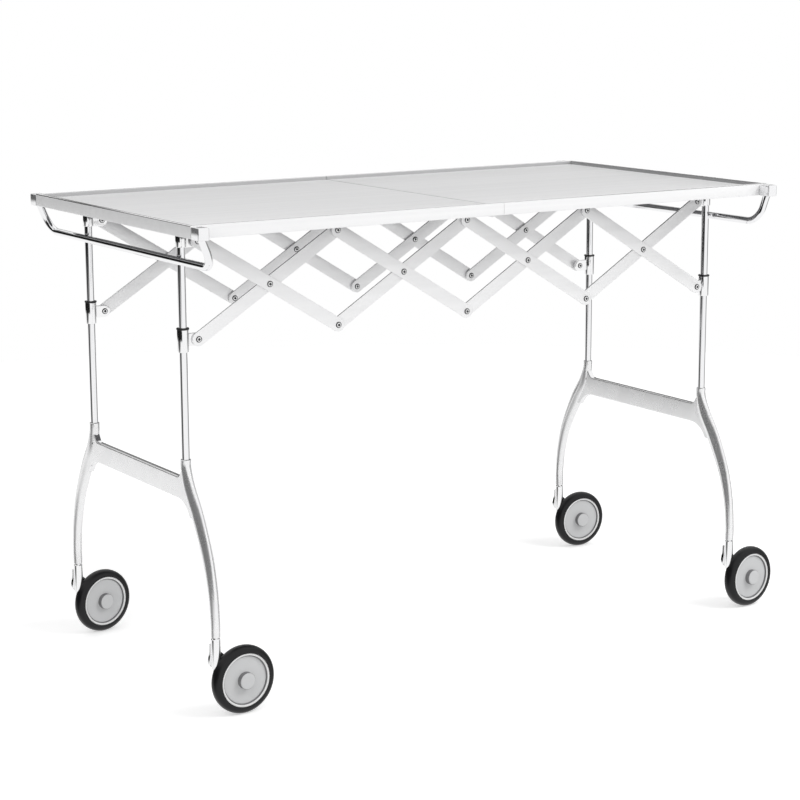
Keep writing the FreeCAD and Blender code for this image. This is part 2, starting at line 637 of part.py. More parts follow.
# ---- all pieces ---------------------------------------------------------------------
def build():
    pieces = {}
    for side, hand in ((-1, "left"), (1, "right")):
        pieces[hand + "_leg_casting"] = leg_casting(side)
        pieces[hand + "_front_rod"] = rod(side, -1)
        pieces[hand + "_rear_rod"] = rod(side, 1)
        pieces[hand + "_top_lugs"] = top_lugs(side)
        pieces[hand + "_handle"] = handle(side)
        pieces[hand + "_handle_saddles"] = handle_saddles(side)
        pieces[hand + "_corner_blocks"] = corner_blocks(side)
        pieces[hand + "_collars"] = collars(side)
        pieces[hand + "_collar_rings"] = collar_rings(side)
        pieces[hand + "_rim"] = rim(side)
        pieces[hand + "_tray_sheet"] = sheet(side)
        pieces[hand + "_seam_hinges"] = hinge_leaves(side)
        wheel_tyre = tyre()
        wheel_hub = hub()
        caster_fork = fork()
        for y_side, place in ((-1, "front"), (1, "rear")):
            name = hand + "_" + place
            turn = SWIVELS[name]
            pieces[name + "_caster_fork"] = at_foot(caster_fork, side, y_side, turn, False)
            pieces[name + "_hub"] = at_foot(wheel_hub, side, y_side, turn, True)
            pieces[name + "_tyre"] = at_foot(wheel_tyre, side, y_side, turn, True)
    for cell in range(CELLS):
        number = str(cell + 1)
        falling = falling_bar(cell)
        rising = rising_bar(cell)
        pieces["rear_falling_bar_" + number] = falling
        pieces["front_falling_bar_" + number] = mirror_y(falling)
        pieces["rear_rising_bar_" + number] = rising
        pieces["front_rising_bar_" + number] = mirror_y(rising)
        rivets = falling_rivets(cell)
        pieces["falling_rivets_" + number] = Part.makeCompound(
            rivets + [mirror_y(rivet) for rivet in rivets])
    middle = CELLS // 2
    pieces["rising_rivets_" + str(middle)] = pair_y(inner_stub(0, LATTICE_TOP_Z))
    pieces["rising_rivets_" + str(middle + 1)] = pair_y(inner_stub(0, LATTICE_BOTTOM_Z))
    return pieces


os.makedirs("parts", exist_ok=True)
made = build()
# the row's origin is the middle of the whole box, so the table's middle lies beside it
reach = max(shape.optimalBoundingBox().XMax for shape in made.values())
table_middle_x = (HALF_LENGTH - reach) / 2
print("table's middle at x", round(table_middle_x, 4))
for name, shape in made.items():
    shape.translate(X_DIR * table_middle_x)
    if not shape.isValid():
        raise RuntimeError(name + " is not a valid shape")
    shape.exportStep(os.path.join("parts", name + ".step"))
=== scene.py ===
"""Folding service table: surface finishes, fine pieces, stage and camera over its CAD frame."""

import math

import bpy
import numpy as np
from bpy.props import FloatProperty, FloatVectorProperty, PointerProperty
from mathutils import Matrix, Vector


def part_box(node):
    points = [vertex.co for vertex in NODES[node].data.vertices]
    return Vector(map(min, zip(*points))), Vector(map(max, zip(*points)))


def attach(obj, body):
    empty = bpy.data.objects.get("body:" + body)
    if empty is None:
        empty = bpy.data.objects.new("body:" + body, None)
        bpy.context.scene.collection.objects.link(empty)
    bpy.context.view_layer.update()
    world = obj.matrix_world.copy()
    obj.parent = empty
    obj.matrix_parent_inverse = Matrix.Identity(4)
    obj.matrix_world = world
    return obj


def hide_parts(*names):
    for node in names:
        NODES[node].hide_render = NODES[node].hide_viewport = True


bl_info = {
    "name": "Folding service table",
    "version": (1, 0, 0),
    "blender": (4, 5, 0),
    "location": "View3D > Sidebar > Service table",
    "description": "Finishes and fine pieces of a folding service table on casters",
    "category": "Object",
}

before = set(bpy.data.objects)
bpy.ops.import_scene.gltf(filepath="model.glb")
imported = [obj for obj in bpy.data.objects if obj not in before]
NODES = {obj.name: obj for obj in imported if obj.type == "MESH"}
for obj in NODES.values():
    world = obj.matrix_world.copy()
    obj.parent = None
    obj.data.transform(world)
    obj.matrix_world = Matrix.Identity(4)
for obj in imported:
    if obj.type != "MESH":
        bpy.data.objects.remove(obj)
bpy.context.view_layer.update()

SIDES = (("left", -1), ("right", 1))
PLACES = (("front", -1), ("rear", 1))
CELLS = (1, 2, 3, 4)


# ---- sizes of the pieces, in millimetres from the table's middle ---------------------
MM = 0.001
MIDDLE_X = (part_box("left_rim")[0][0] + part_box("right_rim")[1][0]) / 2
HALF_LENGTH = 515.0
HALF_WIDTH = 256.0
RIM_BOTTOM_Z = 685.0
SHEET_BOTTOM_Z = 694.5
SHEET_Z = 697.5
SHEET_FACE = 0.4             # bright face over the sheet's near black layer of painted shade
RECESS = (507.9, 248.9)      # half sizes of the opening that a sheet fills
SEAM = 0.3                   # half the gap between the two rims
ROD_X = 477.0
ROD_Y = 152.0
ROD_SEAT_R = 6.02            # bores round a rod: held, and sliding
ROD_SLIDE_R = 6.09
PIVOT_X = 455.0
HIGH_Z = 669.0
LOW_Z = 530.0
PITCH = 2.0 * PIVOT_X / len(CELLS)
BAR_HALF = 10.0
INNER_LAYER = (154.9, 157.9)
OUTER_LAYER = (158.2, 161.2)
LUG_LAYER = (149.5, 154.5)
LUG_R = 9.0
RIVET_R = 2.9
BLOCK_LENGTH = 17.0
BLOCK_Y = (256.4, 278.4)
BLOCK_Z = (684.0, 702.0)
TILT_X = 506.5
TILT_Z = 694.0
HANDLE_Z = 644.0
HANDLE_X = 487.5
HANDLE_R = 5.6
HANDLE_TOP_Z = 691.0
HANDLE_HALF = 266.9          # half the grip's length, from arm to arm
HANDLE_BEND_R = 25.0
SADDLE = ((147.0, 640.0), (157.0, 648.0))
BLADE_TOP_Z = 331.0
BLADE_BOTTOM_Z = 300.0
BLADE_HALF = 5.0
NECK_R = 12.0
ARCH_R = 40.0
FOOT_Y = 231.0
FOOT_Z = 117.0
SOCKET_Z = 359.0
RING_Z = 545.0
WHEEL_R = 50.0
TRAIL = 39.0
WHEEL_BESIDE = 7.5
SWIVELS = {"left_front": 3.0, "left_rear": 10.0, "right_front": 5.0, "right_rear": -3.0}

# Dark sides of the studio, seen only in reflections. In degrees: heading from +Y towards
# +X, half width and softness. As sines: height, half height and fade. Last, the darkness.
DARK_SIDES = (
    (-92.0, 47.0, 6.0, 0.2, 0.35, 0.03, 0.99),
    (-76.0, 30.0, 8.0, -0.35, 0.24, 0.05, 0.9),
    (-31.0, 26.0, 5.0, 0.235, 0.36, 0.05, 0.99),
    (10.0, 18.0, 8.0, 0.36, 0.26, 0.06, 0.72),
    (48.0, 28.0, 6.0, 0.24, 0.11, 0.04, 0.95),
    (98.0, 22.0, 12.0, 0.0, 0.5, 0.15, 0.75),
)


# ---- surfaces -----------------------------------------------------------------------
def unit(vector):
    """The vector divided by its length."""
    vector = np.asarray(vector, float)
    return vector / np.linalg.norm(vector)


def skin(rings, looped):
    """Corners and face sizes of the surface through a stack of rings.

    Corner (i, j) joins (i, j + 1), (i + 1, j + 1) and (i + 1, j), and the first and last
    rings get flat caps unless the stack closes on itself. The sum of the triple products
    of each face's fan tells whether the faces point inwards, and then all are turned over.
    """
    count, around = rings.shape[:2]
    i, j = np.meshgrid(np.arange(count if looped else count - 1), np.arange(around),
                       indexing="ij")
    above, beside = (i + 1) % count, (j + 1) % around
    quads = np.stack([i * around + j, i * around + beside, above * around + beside,
                      above * around + j], axis=-1).reshape(-1, 4)
    points = rings.reshape(-1, 3)
    fans = [quads[:, [0, 1, 2]], quads[:, [0, 2, 3]]]
    corners, sizes = [quads.ravel()], [np.full(len(quads), 4)]
    if not looped:
        low = np.arange(around)[::-1]
        high = np.arange(around) + (count - 1) * around
        for cap in (low, high):
            first = np.full(around - 2, cap[0])
            fans.append(np.stack([first, cap[1:-1], cap[2:]], axis=1))
            corners.append(cap)
            sizes.append(np.array([around]))
    fan = points[np.concatenate(fans)]
    volume = np.einsum("ij,ij->i", fan[:, 0], np.cross(fan[:, 1], fan[:, 2])).sum()
    corners, sizes = np.concatenate(corners), np.concatenate(sizes)
    return (corners, sizes, 1) if volume > 0 else (corners[::-1], sizes[::-1], -1)


def add_piece(name, shells, materials, body, nodes, sharp=35.0):
    """One object from shells of (rings, looped, material), in place of CAD nodes.

    A shell's material is one number, or a list with a number for each side of its rings.
    """
    points, corners, sizes, marks, start = [], [], [], [], 0
    for rings, looped, mark in shells:
        shell_corners, shell_sizes, order = skin(rings, looped)
        points.append(rings.reshape(-1, 3))
        corners.append(shell_corners + start)
        sizes.append(shell_sizes)
        row = np.resize(np.atleast_1d(mark), rings.shape[1] if np.ndim(mark) else 1)
        marks.append(np.resize(row, len(shell_sizes))[::order])
        start += rings.shape[0] * rings.shape[1]
    place = np.concatenate(points) * MM + np.array([MIDDLE_X, 0.0, 0.0])
    corners, sizes = np.concatenate(corners), np.concatenate(sizes)
    mesh = bpy.data.meshes.new(name)
    mesh.vertices.add(len(place))
    mesh.vertices.foreach_set("co", place.astype(np.float32).ravel())
    mesh.loops.add(len(corners))
    mesh.loops.foreach_set("vertex_index", corners.astype(np.int32))
    mesh.polygons.add(len(sizes))
    starts = np.concatenate([[0], np.cumsum(sizes)[:-1]])
    mesh.polygons.foreach_set("loop_start", starts.astype(np.int32))
    for material in materials:
        mesh.materials.append(material)
    mesh.polygons.foreach_set("material_index", np.concatenate(marks).astype(np.int32))
    mesh.polygons.foreach_set("use_smooth", np.ones(len(sizes), bool))
    mesh.update(calc_edges=True)
    if mesh.validate():
        raise RuntimeError(name + " has faulty faces")
    mesh.set_sharp_from_angle(angle=math.radians(sharp))
    piece = bpy.data.objects.new(name, mesh)
    bpy.context.scene.collection.objects.link(piece)
    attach(piece, body)
    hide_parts(*nodes)
    return piece


def turned(profile, centre, axis, sides=48):
    """Rings of a turned shape: centre + h axis + r (cos t, sin t) across the axis."""
    axis = unit(axis)
    across = unit(np.cross(axis, (0.0, 0.0, 1.0) if abs(axis[2]) < 0.9 else (1.0, 0.0, 0.0)))
    beside = np.cross(axis, across)
    turn = np.linspace(0.0, 2.0 * np.pi, sides, endpoint=False)
    ring = np.cos(turn)[:, None] * across + np.sin(turn)[:, None] * beside
    radius, height = np.asarray(profile, float).T
    return (np.asarray(centre, float) + height[:, None, None] * axis
            + radius[:, None, None] * ring)


def sleeve(centre, axis, inner, outer, low, high, edge=0.6):
    """A ring-shaped sleeve with softened outer edges, as a closed turned shape."""
    profile = [(inner, low), (outer - edge, low), (outer - 0.3 * edge, low + 0.3 * edge),
               (outer, low + edge), (outer, high - edge), (outer - 0.3 * edge, high - 0.3 * edge),
               (outer - edge, high), (inner, high)]
    return turned(profile, centre, axis)


def pill(start, end, start_r, end_r, count=48):
    """Outline round two circles: arcs about each centre between their common tangents.

    The tangents stand at the angle whose cosine is the radii's difference over the span.
    """
    start, end = np.asarray(start, float), np.asarray(end, float)
    span = end - start
    heading = math.atan2(span[1], span[0])
    half = math.acos((start_r - end_r) / np.linalg.norm(span))
    far = np.linspace(-half, half, count // 2)
    near = np.linspace(half, 2.0 * np.pi - half, count // 2)

    def outline(inset):
        arcs = [centre + (radius - inset) * np.stack([np.cos(turn + heading),
                                                      np.sin(turn + heading)], axis=1)
                for centre, radius, turn in ((end, end_r, far), (start, start_r, near))]
        return np.concatenate(arcs)
    return outline


def soft_rectangle(u0, u1, v0, v1, corner, steps=7):
    """Outline of a rectangle whose corners are quarter circles."""
    turn = np.linspace(0.0, 0.5 * np.pi, steps)
    centres = ((u1 - corner, v1 - corner), (u0 + corner, v1 - corner),
               (u0 + corner, v0 + corner), (u1 - corner, v0 + corner))

    def outline(inset):
        arcs = [np.array(centre) + max(corner - inset, 0.02) *
                np.stack([np.cos(turn + k * 0.5 * np.pi), np.sin(turn + k * 0.5 * np.pi)], axis=1)
                for k, centre in enumerate(centres)]
        return np.concatenate(arcs)
    return outline


def slab(outline, low, high, edge, level_axis, steps=4):
    """Rings of a plate with softened edges.

    At a quarter turn t the outline is inset by edge (1 - sin t) and stands
    edge (1 - cos t) inside the plate's face; level_axis is 1 for Y and 2 for Z.
    """
    turn = np.linspace(0.0, 0.5 * np.pi, steps)
    levels = [(low + edge * (1 - math.cos(t)), edge * (1 - math.sin(t))) for t in turn]
    levels += [(high - edge * (1 - math.cos(t)), edge * (1 - math.sin(t))) for t in turn[::-1]]
    rings = []
    for level, inset in levels:
        flat = outline(inset)
        rings.append(np.insert(flat, level_axis, level, axis=1))
    return np.array(rings)


def soft_box(low, high, edge):
    """Rings of a box with softened edges, from its low corner to its high one."""
    outline = soft_rectangle(low[0], high[0], low[1], high[1], edge)
    return slab(outline, low[2], high[2], edge, 2)


def smooth_rows(rows, count):
    """Catmull-Rom curve through rows of numbers, at evenly spaced parameters."""
    rows = np.asarray(rows, float)
    at = np.linspace(0.0, len(rows) - 1.0, count)
    k = np.minimum(at.astype(int), len(rows) - 2)
    f = (at - k)[:, None]
    a, b = rows[np.maximum(k - 1, 0)], rows[k]
    c, d = rows[k + 1], rows[np.minimum(k + 2, len(rows) - 1)]
    return 0.5 * (2 * b + (c - a) * f + (2 * a - 5 * b + 4 * c - d) * f ** 2
                  + (3 * b - a - 3 * c + d) * f ** 3)


def tube(path, normal, radius, sides=32):
    """A round section carried along a flat path: path + r (cos t normal + sin t across)."""
    ahead = np.gradient(path, axis=0)
    ahead /= np.linalg.norm(ahead, axis=1)[:, None]
    across = np.cross(ahead, normal)
    turn = np.linspace(0.0, 2.0 * np.pi, sides, endpoint=False)
    return (path[:, None, :] + radius * (np.cos(turn)[:, None] * np.asarray(normal)
                                         + np.sin(turn)[:, None] * across[:, None, :]))


def flipped(rings, y_side):
    """The same rings at the rear, or mirrored to the front where y_side is -1."""
    return rings * np.array([1.0, float(y_side), 1.0])


def shifted(rings, x):
    """The same rings, moved along X."""
    return rings + np.array([x, 0.0, 0.0])


# ---- shapes of the table's pieces ---------------------------------------------------
def leg_rings():
    """Rings of the rear leg: an oval carried down a bowed spine.

    Half width and half depth follow the spine by a smooth curve, and the power of the
    superellipse falls from 2 at the ends to about 1.6 midway, which gives the leg its ridge.
    """
    rows = ((ROD_Y, SOCKET_Z, 15.6, 15.6), (152.6, 345.0, 17.0, 15.9), (162.0, 318.0, 26.0, 16.8),
            (185.0, 283.0, 27.6, 16.9), (212.0, 232.0, 22.4, 15.8), (226.0, 185.0, 17.6, 14.7),
            (FOOT_Y, 143.0, 14.2, 14.0), (FOOT_Y, FOOT_Z + 0.6, 13.8, 13.8))
    y, z, width, depth = smooth_rows(rows, 56).T
    lean = np.arctan2(np.gradient(y), -np.gradient(z))
    lean[0] = lean[-1] = 0.0
    along = np.linspace(0.0, 1.0, len(y))
    power = 2.0 - 0.42 * np.sin(np.pi * np.clip(along * 1.15 - 0.05, 0.0, 1.0)) ** 0.8
    turn = np.linspace(0.0, 2.0 * np.pi, 40, endpoint=False)
    cosine, sine = np.cos(turn)[None, :], np.sin(turn)[None, :]
    wide = np.sign(cosine) * np.abs(cosine) ** (2.0 / power[:, None]) * width[:, None] / 2
    deep = np.sign(sine) * np.abs(sine) ** (2.0 / power[:, None]) * depth[:, None] / 2
    rings = np.stack([deep, y[:, None] + wide * np.cos(lean)[:, None],
                      z[:, None] + wide * np.sin(lean)[:, None]], axis=-1)
    ends, taper = [], 0.93
    for ring, middle in ((rings[0], (0.0, ROD_Y)), (rings[-1], (0.0, FOOT_Y))):
        end = ring.copy()
        end[:, :2] = np.array(middle) + (end[:, :2] - np.array(middle)) * taper
        ends.append(end[None])
    ends[1][..., 2] = FOOT_Z
    rings[0, :, 2] -= 0.5
    return np.concatenate([ends[0], rings, ends[1]])


def crossbar_section():
    """The crossbar's section as (x, level), where level goes from -1 to 1 over its height."""
    return soft_rectangle(-BLADE_HALF, BLADE_HALF, -1.0, 1.0, 0.9)(0.0).T


def crossbar_rings():
    """Rings of the crossbar: upright soft rectangles along Y between two height curves.

    The top rises on a 12 mm arc at each neck, and the bottom falls on a 40 mm arc.
    """
    neck_y = np.linspace(126.0, 174.0, 26)
    y = np.concatenate([-neck_y[::-1], np.linspace(-120.0, 120.0, 9), neck_y])
    reach = np.abs(y)
    neck = np.clip(reach - 132.2, 0.0, NECK_R - 0.1)
    top = BLADE_TOP_Z + NECK_R - np.sqrt(NECK_R ** 2 - neck ** 2)
    inside_leg = np.interp(reach, [0.0, 150.0, 158.0, 174.0], [400.0, 345.0, 338.0, 306.0])
    top = np.minimum(top, inside_leg)
    arch = np.clip(reach - 133.3, 0.0, 35.8)
    bottom = BLADE_BOTTOM_Z - ARCH_R + np.sqrt(ARCH_R ** 2 - arch ** 2)
    x, level = crossbar_section()
    corner = 2.2 * np.sign(level) * (1.0 - np.abs(level))
    height = np.where(level > 0, top[:, None], bottom[:, None]) - corner
    return np.stack([np.broadcast_to(x, height.shape), np.broadcast_to(y[:, None], height.shape),
                     height], axis=-1)


def crossbar_finishes():
    """Finish of each side of the crossbar's section: 2 on the flat top, 0 elsewhere."""
    level = crossbar_section()[1]
    return np.where((level > 0.98) & (np.roll(level, -1) > 0.98), 2, 0)


def handle_path(side):
    """Straight arms, quarter arcs and the grip bar, in one leaning plane, and its normal."""
    bend, straight = HANDLE_BEND_R, HANDLE_HALF - HANDLE_BEND_R
    low = np.array([side * HANDLE_X, 0.0, HANDLE_Z])
    lean = unit(np.array([side * TILT_X, 0.0, HANDLE_TOP_Z]) - low)
    length = (HANDLE_TOP_Z - HANDLE_Z) / lean[2]
    turn = np.linspace(0.0, 0.5 * np.pi, 20)[:, None]
    across = np.array([0.0, 1.0, 0.0])
    arm = np.linspace(length, bend + 1.0, 6)[:, None] * lean + HANDLE_HALF * across
    arc = (straight + bend * np.cos(turn)) * across + (bend - bend * np.sin(turn)) * lean
    bar = np.linspace(straight - 4.0, 0.0, 12)[:, None] * across
    half = np.concatenate([arm, arc, bar])
    other = half[-2::-1] * np.array([1.0, -1.0, 1.0])
    return low + np.concatenate([half, other]), np.cross(lean, across)


def rim_rings(side):
    """The rail's section carried round three sides with mitred corners.

    The section's distance d from the outer face moves each corner inwards by d both ways.
    """
    section = np.array([(0.0, 685.4), (0.0, 701.9), (0.32, 702.68), (1.1, 703.0), (6.5, 703.0),
                        (6.86, 702.86), (7.0, 702.5), (7.0, SHEET_BOTTOM_Z),
                        (12.0, SHEET_BOTTOM_Z), (12.0, RIM_BOTTOM_Z), (0.4, RIM_BOTTOM_Z)])
    inwards, height = section.T
    seam, far, wide = np.full_like(inwards, SEAM), HALF_LENGTH - inwards, HALF_WIDTH - inwards
    corners = ((seam, -wide), (far, -wide), (far, wide), (seam, wide))
    return np.array([np.stack([side * x, y, height], axis=1) for x, y in corners])


# Finish of each side of the rail's section: face, edges and top, inside wall in a darker grey as
# painted shade, underside in near black as painted shade
RIM_FINISHES = [0, 1, 1, 1, 1, 1, 2, 2, 3, 3, 0]


def rivet_shells(x, z, y, out, y_side):
    """A turned head: a dark disc, painted as the shade in its hollow middle and round its rim, and
    a rounded bright ring standing on it.
    """
    ring = [(1.9, 0.5), (1.95, 1.2), (2.2, 1.45), (2.9, 1.45), (3.3, 1.2), (3.4, 0.5)]
    painted_shade_disc = [(0.3, 0.0), (4.5, 0.0), (4.5, 0.6), (4.2, 0.8), (0.3, 0.8)]
    centre, axis = (x, y, z), (0.0, float(out), 0.0)
    return [(flipped(turned(ring, centre, axis, 28), y_side), True, 0),
            (flipped(turned(painted_shade_disc, centre, axis, 28), y_side), False, 1)]


def shank_shell(x, z, y0, y1, radius, y_side):
    """A plain pin along Y, as one shell."""
    return (flipped(turned([(radius, 0.0), (radius, y1 - y0)], (x, y0, z), (0.0, 1.0, 0.0), 24),
                    y_side), False, 0)


def lug_shells(x_side, radius, low, high, pivot_z, layer, bore):
    """A sleeve on each rod with its flat tongue, stud, spacer and rivet head."""
    rod_x, pivot_x = x_side * ROD_X, x_side * PIVOT_X
    tongue = slab(pill((pivot_x, pivot_z), (rod_x - 2.5 * x_side, pivot_z), LUG_R, LUG_R),
                  *LUG_LAYER, 0.5, 1)
    root = LUG_LAYER[1] - 1.0
    shells = []
    for y_side in (-1, 1):
        shells.append((sleeve((rod_x, y_side * ROD_Y, 0.0), (0, 0, 1), bore, radius, low, high),
                       True, 0))
        shells.append((flipped(tongue, y_side), False, 0))
        shells.append(shank_shell(pivot_x, pivot_z, root, layer[0] - 0.1, 3.0, y_side))
        shells.append(shank_shell(pivot_x, pivot_z, root, layer[1] + 0.5, RIVET_R, y_side))
        shells += rivet_shells(pivot_x, pivot_z, layer[1] + 0.1, 1, y_side)
        shells += rivet_shells(pivot_x, pivot_z, LUG_LAYER[0], -1, y_side)
    return shells


def tyre_profile():
    """Closed section: a superellipse crown of power 2.3 over a straight seat."""
    turn = np.linspace(-0.5 * np.pi, 0.5 * np.pi, 27)
    radial = 40.15 + 9.85 * np.cos(turn) ** (2 / 2.3)
    axial = 10.0 * np.sign(np.sin(turn)) * np.abs(np.sin(turn)) ** (2 / 2.3)
    return [(39.52, -10.0), *zip(radial, axial), (39.52, 10.0)]


def hub_profile():
    """Back face, seat, dished face and domed boss, out from the wheel's middle."""
    return [(0.3, -9.0), (36.0, -9.0), (38.8, -8.8), (39.5, -8.1), (39.5, 7.0), (35.9, 7.0),
            (35.8, 5.3), (35.0, 5.2), (34.4, 6.0), (12.9, 6.0), (12.3, 6.3), (12.0, 7.0),
            (12.0, 13.8), (11.7, 14.5), (11.0, 14.9), (9.0, 15.0), (0.3, 15.0)]


def shade_profiles():
    """Closed sections of the walls painted dark as shade: round the boss, and inside the pale lip.
    """
    return ([(12.0, 6.5), (12.35, 6.5), (12.35, 13.7), (12.0, 13.9)],
            [(35.3, 5.6), (36.0, 5.6), (36.0, 8.2), (35.7, 7.9)])


def lip_profile():
    """Closed section of the ring round the hub's face, painted pale as a highlight, with a rounded
    front.
    """
    return [(36.1, 5.5), (36.1, 8.0), (36.5, 8.8), (37.4, 9.0), (38.6, 9.0), (39.3, 8.7),
            (39.5, 8.0), (39.5, 5.5)]


def fork_shells(stem, back, out):
    """Stem, flared arm beside the wheel and a round pad at the axle, turned by the swivel."""
    barrel = turned([(4.0, 66.0), (6.8, 72.0), (6.8, 114.2), (6.2, 115.0), (4.0, 115.0),
                     (4.0, 117.5)], (0.0, 0.0, 0.0), (0.0, 0.0, 1.0))
    corners = np.array([(-6.6, 106.0), (-7.2, 92.0), (-9.2, 79.0), (-5.3, 72.5), (6.0, 64.0),
                        (30.0, 41.5), (39.0, 39.2), (47.5, 43.5), (49.8, 51.0), (46.0, 58.5),
                        (16.0, 88.0), (7.0, 97.0), (6.6, 106.0)])
    closed = np.concatenate([corners, corners[:1]])
    curve = smooth_rows(closed, 90)[:-1]
    ahead = np.roll(curve, -1, axis=0) - np.roll(curve, 1, axis=0)
    inwards = np.stack([-ahead[:, 1], ahead[:, 0]], axis=1)
    inwards /= np.linalg.norm(inwards, axis=1)[:, None]

    def outline(inset):
        return curve + inset * inwards
    arm = slab(outline, -9.7, -3.7, 1.3, 1)
    axle = turned([(4.0, 0.0), (4.0, 12.0)], (TRAIL, -8.0, WHEEL_R), (0.0, 1.0, 0.0), 24)
    frame_axes = np.array([back, out, (0.0, 0.0, 1.0)])
    return [(stem + rings @ frame_axes, False, 0) for rings in (barrel, arm, axle)]


# ---- sizes and colours that a user would change -------------------------------------
def colour_setting(name, description, default):
    """A colour that the user can change."""
    return FloatVectorProperty(name=name, description=description, default=default,
                               subtype="COLOR", size=3)


def gloss_setting(name, description, default):
    """A roughness from 0, a mirror, to 1, dull."""
    return FloatProperty(name=name, description=description, default=default,
                         min=0.0, max=1.0, subtype="FACTOR")


class StageSettings(bpy.types.PropertyGroup):
    """Floor, lights and the camera."""

    camera_place: FloatVectorProperty(
        name="Camera place", description="Where the camera stands",
        default=(-1.8487, -2.7955, 1.0348), unit="LENGTH", size=3)
    camera_turn: FloatProperty(
        name="Camera turn", description="Heading of the view, from +Y towards +X",
        default=math.radians(32.857), unit="ROTATION")
    camera_dip: FloatProperty(
        name="Camera dip", description="How far the view looks down",
        default=math.radians(11.331), unit="ROTATION")
    camera_roll: FloatProperty(
        name="Camera roll", description="Turn of the camera about its view",
        default=math.radians(-0.198), unit="ROTATION")
    lens: FloatProperty(
        name="Lens", description="Focal length on a 36 mm sensor, in millimetres",
        default=96.15)
    floor_radius: FloatProperty(
        name="Floor radius", description="Radius of the pale floor",
        default=2.6, unit="LENGTH")
    sky_level: FloatProperty(
        name="Sky level", description="Light of the white studio on dull surfaces",
        default=0.62)
    key_power: FloatProperty(
        name="Key power", description="Power of the large soft lamp, in watts",
        default=60.0)


class MetalSettings(bpy.types.PropertyGroup):
    """Colours and gloss of the metal pieces."""

    chrome: colour_setting(
        "Chrome", "Plated rods and handles", (0.90, 0.90, 0.91))
    casting: colour_setting(
        "Casting", "Polished leg castings", (0.92, 0.92, 0.925))
    bar: colour_setting(
        "Bar", "Satin bars of the lattices", (0.95, 0.95, 0.955))
    rim: colour_setting(
        "Rim", "Anodised rails round the top", (0.93, 0.93, 0.935))
    sheet: colour_setting(
        "Sheet", "Recessed sheets of the top", (0.97, 0.97, 0.975))
    # Rail inside: a darker grey painted on the rails' walls round the recess as painted shade
    inside: colour_setting(
        "Rail inside", "Dimmer wall of the rails round the recess", (0.5, 0.5, 0.505))
    # Underside: near black painted under the top as painted shade, on the rails' undersides, the
    # seam rails and a layer under each sheet
    under: colour_setting(
        "Underside", "Dark backing under the top", (0.1, 0.1, 0.105))
    chrome_roughness: gloss_setting(
        "Chrome roughness", "Gloss of plated pieces", 0.05)
    casting_roughness: gloss_setting(
        "Casting roughness", "Gloss of the castings", 0.27)
    satin_roughness: gloss_setting(
        "Satin roughness", "Gloss of bars, rails and sheets", 0.36)


class WheelSettings(bpy.types.PropertyGroup):
    """Colours of the casters' wheels."""

    # Rubber: black of the tyres, also used for the painted shade at the legs' sockets and in the
    # rivet heads
    rubber: colour_setting(
        "Rubber", "Black tyre", (0.007, 0.007, 0.008))
    hub: colour_setting(
        "Hub", "Grey moulded hub", (0.62, 0.625, 0.63))
    # Hub lip: a paler grey painted on the ring round the hub as a painted highlight
    lip: colour_setting(
        "Hub lip", "Pale ring round the hub", (0.86, 0.86, 0.86))
    # Hub walls: dark grey painted on the boss's side wall and the lip's inner wall as painted
    # shade
    shade: colour_setting(
        "Hub walls", "Dim walls of the boss and the lip", (0.2, 0.2, 0.205))


# ---- shader groups and materials ----------------------------------------------------
def add_node(tree, kind, **values):
    """A new shader node with some of its settings."""
    node = tree.nodes.new(kind)
    for name, value in values.items():
        setattr(node, name, value)
    return node


def math_node(tree, operation, *values):
    """Output of a Math node whose inputs are sockets or numbers."""
    node = add_node(tree, "ShaderNodeMath", operation=operation)
    for socket, value in zip(node.inputs, values):
        if isinstance(value, bpy.types.NodeSocket):
            tree.links.new(value, socket)
        else:
            socket.default_value = value
    return node.outputs[0]


def finish_group(name, inputs, outputs):
    """An empty shader group with named number inputs and outputs."""
    group = bpy.data.node_groups.new(name, "ShaderNodeTree")
    for label, value in inputs:
        socket = group.interface.new_socket(label, in_out="INPUT", socket_type="NodeSocketFloat")
        socket.default_value = value
    for label in outputs:
        group.interface.new_socket(label, in_out="OUTPUT", socket_type="NodeSocketFloat")
    return group, add_node(group, "NodeGroupInput"), add_node(group, "NodeGroupOutput")


def brushed_group():
    """Fine parallel lines along X: noise stretched along the brushing direction.

    Inputs are the density of lines, the mean roughness and its swing; outputs are the
    roughness, a height for a Bump node and a slow change of tone.
    """
    if "fine_brushing" in bpy.data.node_groups:
        return bpy.data.node_groups["fine_brushing"]
    group, inside, outside = finish_group(
        "fine_brushing", (("Density", 900.0), ("Roughness", 0.35), ("Swing", 0.1)),
        ("Roughness", "Height", "Tone"))
    links = group.links
    place = add_node(group, "ShaderNodeTexCoord")
    stretch = add_node(group, "ShaderNodeVectorMath", operation="MULTIPLY")
    stretch.inputs[1].default_value = (0.012, 1.0, 1.0)
    noise = add_node(group, "ShaderNodeTexNoise")
    noise.inputs["Detail"].default_value = 3.0
    links.new(place.outputs["Object"], stretch.inputs[0])
    links.new(stretch.outputs[0], noise.inputs["Vector"])
    links.new(inside.outputs["Density"], noise.inputs["Scale"])
    centred = math_node(group, "SUBTRACT", noise.outputs["Fac"], 0.5)
    swung = math_node(group, "MULTIPLY_ADD", centred, inside.outputs["Swing"],
                      inside.outputs["Roughness"])
    links.new(swung, outside.inputs["Roughness"])
    links.new(noise.outputs["Fac"], outside.inputs["Height"])
    streaks = add_node(group, "ShaderNodeTexNoise")
    streaks.inputs["Scale"].default_value = 70.0
    streaks.inputs["Detail"].default_value = 4.0
    links.new(stretch.outputs[0], streaks.inputs["Vector"])
    tone = add_node(group, "ShaderNodeMapRange")
    tone.inputs["From Min"].default_value = 0.3
    tone.inputs["From Max"].default_value = 0.7
    tone.inputs["To Min"].default_value = 0.94
    links.new(streaks.outputs["Fac"], tone.inputs["Value"])
    links.new(tone.outputs["Result"], outside.inputs["Tone"])
    return group


